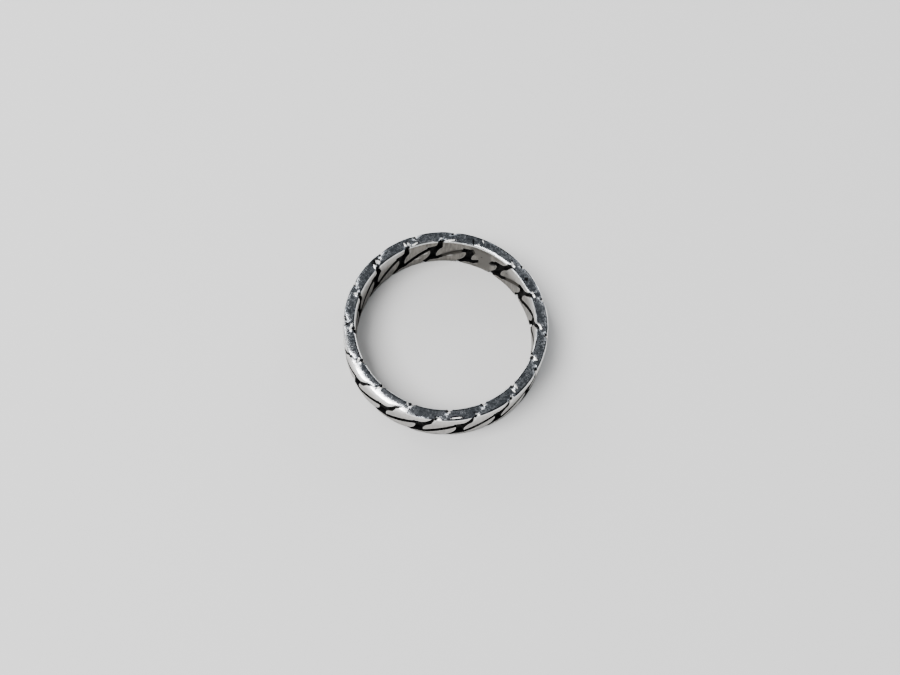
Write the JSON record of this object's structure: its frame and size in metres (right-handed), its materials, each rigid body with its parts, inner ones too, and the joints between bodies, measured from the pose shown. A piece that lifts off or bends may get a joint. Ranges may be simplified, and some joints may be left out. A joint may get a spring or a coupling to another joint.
{
  "type": "curb-chain band ring",
  "caption": "Rigid finger ring cast as a closed flat curb chain, with leaning bars, dark recesses, a plain stretch in the bore and a rim to rest on.",
  "frame": {"origin": "middle of the lower rim's plane, which the ring rests on, on the bore's axis", "axes": "+Z along the bore's axis, up from the lower rim; +Y towards the plain stretch of the bore's wall"},
  "size_m": [0.0217, 0.0216, 0.0047],
  "materials": {
    "silver": "sterling silver: faces filed flat to a satin, rims left glossy and rough from casting, recesses blackened"
  },
  "bodies": {
    "root": {"curb_band": "silver"}
  },
  "joints": []
}
